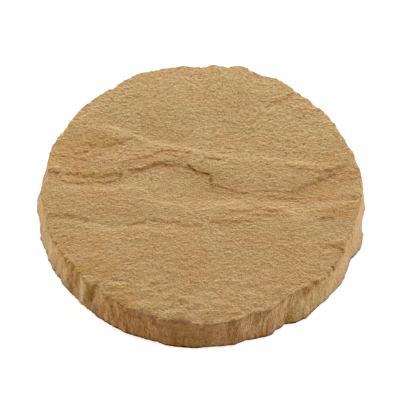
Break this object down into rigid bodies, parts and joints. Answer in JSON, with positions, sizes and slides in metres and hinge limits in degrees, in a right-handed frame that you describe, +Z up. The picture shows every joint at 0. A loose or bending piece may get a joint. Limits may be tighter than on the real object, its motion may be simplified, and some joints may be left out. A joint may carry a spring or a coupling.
{
  "type": "stepping stone",
  "caption": "Round cast-stone garden stepping stone: riven sandstone-textured face, chipped edge leaning out to a flat bed, laid in turf or gravel as a step.",
  "frame": {"origin": "middle of the flat bed that the stone rests on", "axes": "+Z up, out of the riven face; +Y towards the side that is far from the picture's camera; +X to its right"},
  "size_m": [0.3026, 0.3028, 0.0317],
  "materials": {
    "cast_stone": "matte"
  },
  "bodies": {
    "root": {"stepping_stone": "cast_stone"}
  },
  "joints": []
}
